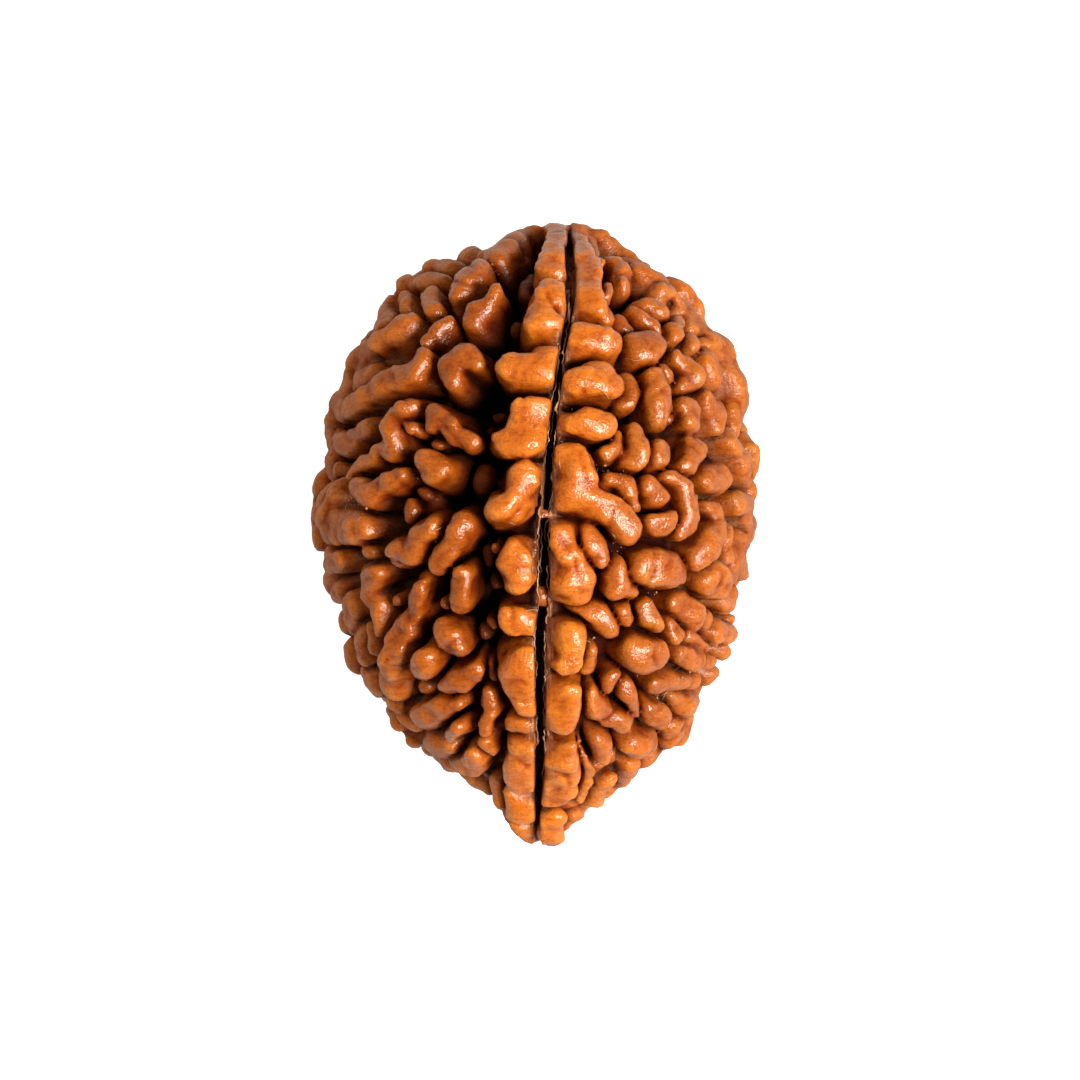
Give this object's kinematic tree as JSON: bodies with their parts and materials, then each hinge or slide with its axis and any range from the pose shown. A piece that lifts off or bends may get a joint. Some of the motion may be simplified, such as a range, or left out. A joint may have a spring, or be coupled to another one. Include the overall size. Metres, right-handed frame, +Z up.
{
  "type": "two mukhi rudraksha bead",
  "caption": "Ridged brown seed bead, oval with one pointed end, split by two deep clefts pole to pole, with a canal for a string.",
  "frame": {"origin": "centre of the bead's box, at the surface that it lies on", "axes": "+Y from the pointed end to the blunt end, +X across the face to its right, +Z up out of the face with the seen cleft"},
  "size_m": [0.0176, 0.0248, 0.0174],
  "materials": {
    "stone": "hard woody fruit stone, satin on the knobs, near black in the grooves"
  },
  "bodies": {
    "root": {"rudraksha_bead": "stone"}
  },
  "joints": []
}
